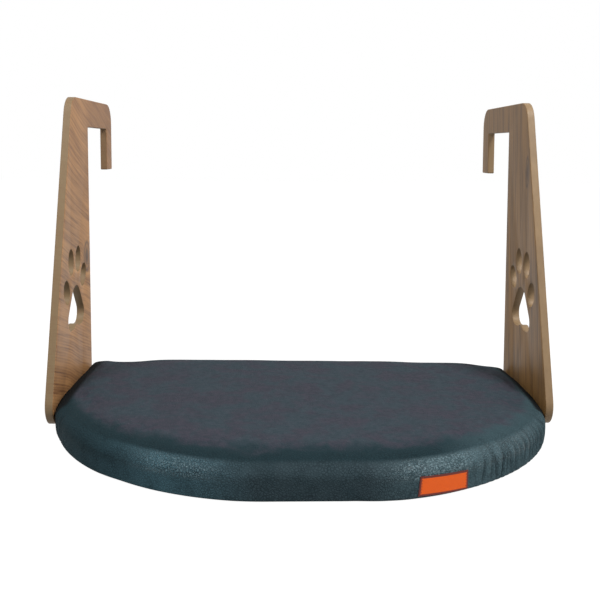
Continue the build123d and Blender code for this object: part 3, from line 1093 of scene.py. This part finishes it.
def ribbon_material(settings, width, height):
    """Woven polyester ribbon: a fine satin weave in orange, its border woven in dark maroon."""
    material, node, _ = new_material("woven_satin_ribbon")
    run = node("UVMap", uv_map="ribbon")
    # Threads 0.3 mm apart, drawn 0.9 mm apart so that they show, and the distance to the nearest edge
    weave, nearest = 1.0, width / MM
    for axis, size in (("X", width / MM), ("Y", height / MM)):
        thread = node("TexWave", {"Vector": run, "Scale": 0.35}, "Fac", bands_direction=axis)
        weave = node("Math", (weave, thread), operation="MULTIPLY")
        along = node("SeparateXYZ", (run,), axis)
        for edge, direction in ((0.0, 1.0), (size, -1.0)):
            inward = node("Math", (along, direction, -edge * direction), operation="MULTIPLY_ADD")
            nearest = node("Math", (nearest, inward), operation="MINIMUM")
    border = settings.border_width / MM
    on_border = node("MapRange", (nearest, border * 0.8, border * 1.1, 1.0, 0.0))
    face = node("ValToRGB", (weave,), stops=((0.0, dimmed(settings.face, 0.72)), (0.5, settings.face)))
    # Soiled in clouds of several millimetres
    soil = node("TexNoise", {"Vector": run, "Scale": 0.12, "Detail": 3.0})
    soiled = node("Math", (soil, 0.25), operation="MULTIPLY")
    colour = face
    for share, over in ((soiled, dimmed(settings.face, 0.7)), (on_border, settings.border)):
        colour = node("Mix", {0: share, 6: colour, 7: over}, 2, **COLOURS)
    give_surface(node, colour, weave, 0.15, 0.6, roughness=0.6, ior=1.5, specular_ior_level=0.3)
    return material


def thread_material(settings):
    """Spun polyester sewing thread: dull, darker in the twist between its strands."""
    material, node, place = new_material("spun_sewing_thread")
    # Twist of the strands, about 1 mm
    twist = node("TexNoise", {"Vector": place, "Scale": 1 / 0.9, "Detail": 1.0})
    colour = node("ValToRGB", (twist,), stops=((0.3, dimmed(settings.thread, 0.7)), (0.7, settings.thread)))
    give_surface(node, colour, roughness=0.8, ior=1.5)
    return material


# The tag's grid, the share of its width where its height is right, the passes that let it bridge dips,
# the share of its width outside each row of stitches, and the rows of its grid from stitch to stitch
TAG_COLUMNS = 64
TAG_ROWS = 20
TILT_PIVOT = 0.3
BRIDGE_PASSES = 12
END_MARGIN = 0.045
STITCH_STEP = 3


class CATBED_OT_tag(bpy.types.Operator):
    """Builds the woven tag on the front right, without lettering, with its stitches"""

    bl_idname = "cat_bed.tag"
    bl_label = "Woven tag"

    def execute(self, context):
        settings = context.scene.cat_bed_tag
        plan = SeatPlan(context.scene.cat_bed_seat)
        low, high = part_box("label_tag")
        height = high.z - low.z
        middle = plan.bearings(np.array([[(low.x + high.x) / 2, (low.y + high.y) / 2, 0]]))[0]
        width = (high.x - low.x) / math.cos(math.radians(middle))
        width -= settings.tuck
        across, up = np.meshgrid(np.linspace(0, 1, TAG_COLUMNS + 1), np.linspace(0, 1, TAG_ROWS + 1))
        run = (across - 0.5) * width - settings.slide + settings.skew * up * (1 - across)
        along = math.radians(middle) + run / plan.radius
        outward = np.stack([np.sin(along), -np.cos(along), 0 * along], 2)
        centre = np.array([plan.flat / 2, plan.centre_y, 0])
        spots = plan.settled((centre + plan.radius * outward).reshape(-1, 3), with_heights=False)
        spots = spots.reshape(outward.shape)
        spots[:, :, 2] = low.z + height * up - settings.tilt * (across - TILT_PIVOT)
        reach = self.cover_reach(spots, outward)
        mesh = self.ribbon_mesh(spots, outward, reach, settings, width, height)
        tag = make_object("woven_tag", mesh)
        smooth_shaded(tag, 40)
        finish_piece(tag, ribbon_material(settings, width, height), "tag", "label_tag")
        self.stitches(settings, spots, outward, reach)
        return {"FINISHED"}

    def cover_reach(self, spots, outward):
        """How far the cover stands out at each point of the tag, eased so that the ribbon bridges dips."""
        cover = bpy.data.objects["leather_seat_cover"]
        tree = BVHTree.FromObject(cover, bpy.context.evaluated_depsgraph_get())
        ahead = 30 * MM
        reach = np.zeros(spots.shape[:2])
        for place in np.ndindex(reach.shape):
            start = Vector(spots[place] + outward[place] * ahead)
            found, _, _, distance = tree.ray_cast(start, -Vector(outward[place]), 2 * ahead)
            reach[place] = ahead - distance if found is not None else 0.0
        for _ in range(BRIDGE_PASSES):
            padded = np.pad(reach, 1, mode="edge")
            around = (padded[:-2, 1:-1] + padded[2:, 1:-1] + padded[1:-1, :-2] + padded[1:-1, 2:]) / 4
            reach = np.maximum(reach, around)
        return reach

    def ribbon_mesh(self, spots, outward, reach, settings, width, height):
        """The ribbon as a thin closed sheet, with its flat place in millimetres kept as its UV map."""
        rows, columns = TAG_ROWS, TAG_COLUMNS
        bm = bmesh.new()
        run = bm.loops.layers.uv.new("ribbon")
        sides = []
        for out in (settings.lift, settings.lift + settings.thickness):
            shell = spots + outward * (reach + out)[:, :, None]
            sides.append([[bm.verts.new(spot) for spot in row] for row in shell])

        def quad(corners):
            face = bm.faces.new([sides[side][row][column] for side, row, column in corners])
            for loop, (_, row, column) in zip(face.loops, corners):
                loop[run].uv = (width / MM * column / columns, height / MM * row / rows)

        for r in range(rows):
            for c in range(columns):
                quad([(1, r, c), (1, r, c + 1), (1, r + 1, c + 1), (1, r + 1, c)])
                quad([(0, r + 1, c), (0, r + 1, c + 1), (0, r, c + 1), (0, r, c)])
        for c in range(columns):
            quad([(0, 0, c), (0, 0, c + 1), (1, 0, c + 1), (1, 0, c)])
            quad([(1, rows, c), (1, rows, c + 1), (0, rows, c + 1), (0, rows, c)])
        for r in range(rows):
            quad([(1, r, 0), (1, r + 1, 0), (0, r + 1, 0), (0, r, 0)])
            quad([(0, r, columns), (0, r + 1, columns), (1, r + 1, columns), (1, r, columns)])
        mesh = bpy.data.meshes.new("woven_tag")
        bm.to_mesh(mesh)
        bm.free()
        return mesh

    def stitches(self, settings, spots, outward, reach):
        """A row of stitches down each short end of the tag."""
        bm = bmesh.new()
        inset = round(TAG_COLUMNS * END_MARGIN)
        for column in (inset, TAG_COLUMNS - inset):
            for row in range(1, TAG_ROWS, STITCH_STEP):
                way = outward[row, column]
                bearing = math.atan2(way[0], -way[1])
                out = reach[row, column] + settings.lift + settings.thickness
                spot = Matrix.Translation(Vector(spots[row, column] + way * out))
                halves = (settings.thread_width / 2, settings.thread_width / 2, settings.stitch_length / 2, 1)
                shape = spot @ Matrix.Rotation(bearing, 4, "Z") @ Matrix.Diagonal(halves)
                bmesh.ops.create_icosphere(bm, subdivisions=2, radius=1, matrix=shape)
        mesh = bpy.data.meshes.new("tag_stitches")
        bm.to_mesh(mesh)
        bm.free()
        stitches = make_object("tag_stitches", mesh)
        smooth_shaded(stitches)
        finish_piece(stitches, thread_material(settings), "tag")


def plywood_material():
    """Birch plywood, sawn: pale, with a long grain."""
    material, node, place = new_material("sawn_birch_plywood")
    # Grain 2 mm wide along X
    drawn = node("VectorMath", (place, (1 / 60, 1 / 2, 1 / 6)), operation="MULTIPLY")
    grain = node("TexNoise", {"Vector": drawn, "Scale": 1.0, "Detail": 3.0, "Roughness": 0.6})
    colour = node("ValToRGB", (grain,), stops=((0.3, linear("B08F63")), (0.7, linear("DCC296"))))
    give_surface(node, colour, grain, 0.2, roughness=0.7, ior=1.5)
    return material


def steel_material(name, hex_dark, hex_light, roughness):
    """Plated steel, drawn or turned: bright metal with faint wear from the tool."""
    material, node, place = new_material(name)
    # Wear marks under a millimetre
    marks = node("TexNoise", {"Vector": place, "Scale": 1 / 0.7, "Detail": 3.0, "Roughness": 0.6})
    colour = node("ValToRGB", (marks,), stops=((0.3, linear(hex_dark)), (0.7, linear(hex_light))))
    give_surface(node, colour, marks, 0.03, 0.4, metallic=1.0, roughness=roughness)
    return material


class CATBED_OT_hardware(bpy.types.Operator):
    """Gives the board, the staples, the bolts and the nuts their finishes"""

    bl_idname = "cat_bed.hardware"
    bl_label = "Board and fastenings"

    def execute(self, context):
        wire = steel_material("galvanised_staple_wire", "9A9C9E", "C9CBCC", 0.4)
        plan = SeatPlan(context.scene.cat_bed_seat)
        board = copy_of_node("plywood_seat_board", "seat_board")
        set_places(board.data, plan.settled(mesh_places(board.data), with_heights=False))
        smooth_shaded(board, 35)
        finish_piece(board, plywood_material(), "board", "seat_board")
        dress_node("cover_staples", wire)
        dress_node("lining_staples", wire)
        nickel = steel_material("nickel_plated_steel", "7F7A73", "A39D93", 0.35)
        zinc = steel_material("zinc_plated_steel", "A0A3A6", "C4C7CA", 0.35)
        dress_node("panel_bolts", nickel)
        dress_node("barrel_nuts", zinc)
        return {"FINISHED"}


# What the softboxes look at, and how far from it they stand, in metres
LIT_SPOT = Vector((0, -0.06, 0.08))
LIGHT_DISTANCE = 1.7


def softbox(name, direction, power, size):
    """A square softbox that looks at the bed from a direction."""
    light = bpy.data.lights.new(name, "AREA")
    light.shape = "SQUARE"
    light.size = size
    light.energy = power
    shown = bpy.data.objects.new(name, light)
    bpy.context.scene.collection.objects.link(shown)
    shown.location = LIT_SPOT + Vector(direction).normalized() * LIGHT_DISTANCE
    shown.rotation_euler = (LIT_SPOT - shown.location).to_track_quat("-Z", "Y").to_euler()


def camera_turn(yaw, pitch, roll):
    """The camera's turn from its yaw to the right, its pitch down and its roll, in radians."""
    forward = Vector((math.sin(yaw) * math.cos(pitch), math.cos(yaw) * math.cos(pitch), -math.sin(pitch)))
    right = Vector((math.cos(yaw), -math.sin(yaw), 0))
    up = right.cross(forward)
    rolled_right = right * math.cos(roll) - up * math.sin(roll)
    rolled_up = right * math.sin(roll) + up * math.cos(roll)
    return Matrix((rolled_right, rolled_up, -forward)).transposed()


def seen_as_background(node):
    """1 where the camera sees a surface directly, in a gloss or through something clear, and else 0."""
    seen = 0.0
    for ray in ("Is Camera Ray", "Is Glossy Ray", "Is Transmission Ray"):
        seen = node("Math", (seen, node("LightPath", output=ray)), operation="MAXIMUM")
    return seen


class CATBED_OT_stage(bpy.types.Operator):
    """Sets the pale floor, the white backdrop, the soft lights and the camera"""

    bl_idname = "cat_bed.stage"
    bl_label = "Stage"

    def execute(self, context):
        settings = context.scene.cat_bed_stage
        self.camera(settings, context.scene)
        # Each with its direction from what it lights, and its size in metres
        softbox("softbox_right", (0.42, -0.36, 0.86), settings.key, 0.42)
        softbox("softbox_left", (-0.47, -0.36, 0.74), settings.fill, 0.32)
        softbox("softbox_front", (0.55, -0.8, 0.3), settings.front, 1.0)
        self.backdrop(settings, context.scene)
        self.floor(settings)
        context.scene.view_settings.view_transform = "Standard"
        return {"FINISHED"}

    def camera(self, settings, scene):
        lens = bpy.data.cameras.new("camera")
        lens.lens = settings.lens
        lens.sensor_width = 36
        lens.shift_x, lens.shift_y = settings.shift_x, settings.shift_y
        lens.clip_start, lens.clip_end = 0.01, 50
        camera = bpy.data.objects.new("camera", lens)
        scene.collection.objects.link(camera)
        turn = camera_turn(settings.yaw, settings.pitch, settings.roll)
        camera.matrix_world = Matrix.Translation(settings.place) @ turn.to_4x4()
        scene.camera = camera

    def backdrop(self, settings, scene):
        world = bpy.data.worlds.new("even_white")
        node = empty_tree(world)
        strength = node("MapRange", {"Value": seen_as_background(node), "To Min": settings.sky})
        node("OutputWorld", {"Surface": node("Background", {"Color": (1, 1, 1), "Strength": strength})})
        scene.world = world

    def floor(self, settings):
        reach, drop = 6.0, 0.3 * MM
        corners = [(x * reach, y * reach, -drop) for x, y in ((-1, -1), (1, -1), (1, 1), (-1, 1))]
        mesh = bpy.data.meshes.new("paper_floor")
        mesh.from_pydata(corners, [], [(0, 1, 2, 3)])
        floor = make_object("paper_floor", mesh)
        material = bpy.data.materials.new("white_paper_sweep")
        node = empty_tree(material)
        # Matt paper, lit up to white where it is seen, so that only the bed's own soft shadow is left on it
        paper = node("BsdfDiffuse", {"Color": settings.floor})
        lit = node("Emission", {"Color": (1, 1, 1), "Strength": settings.glow})
        share = node("Math", (seen_as_background(node), settings.glow_share), operation="MULTIPLY")
        node("OutputMaterial", {"Surface": node("MixShader", (share, paper, lit))})
        mesh.materials.append(material)


OPERATORS = (
    CATBED_OT_side_panels,
    CATBED_OT_seat_cover,
    CATBED_OT_filling,
    CATBED_OT_lining,
    CATBED_OT_tag,
    CATBED_OT_hardware,
    CATBED_OT_stage,
)


class CATBED_PT_sidebar(bpy.types.Panel):
    """Lists the cat bed's operators and settings"""

    bl_idname = "CATBED_PT_sidebar"
    bl_label = "Cat bed"
    bl_space_type = "VIEW_3D"
    bl_region_type = "UI"
    bl_category = "Cat bed"

    def draw(self, context):
        for operator in OPERATORS:
            self.layout.operator(operator.bl_idname)
        for name in SETTINGS:
            group = getattr(context.scene, name)
            box = self.layout.box()
            for key in group.__annotations__:
                box.prop(group, key)


def register():
    for name, group in SETTINGS.items():
        bpy.utils.register_class(group)
        setattr(bpy.types.Scene, name, bpy.props.PointerProperty(type=group))
    for operator in OPERATORS:
        bpy.utils.register_class(operator)
    bpy.utils.register_class(CATBED_PT_sidebar)


def unregister():
    bpy.utils.unregister_class(CATBED_PT_sidebar)
    for operator in reversed(OPERATORS):
        bpy.utils.unregister_class(operator)
    for name, group in SETTINGS.items():
        delattr(bpy.types.Scene, name)
        bpy.utils.unregister_class(group)


def main():
    register()
    for operator in OPERATORS:
        group, name = operator.bl_idname.split(".")
        getattr(getattr(bpy.ops, group), name)()


if __name__ == "__main__":
    main()
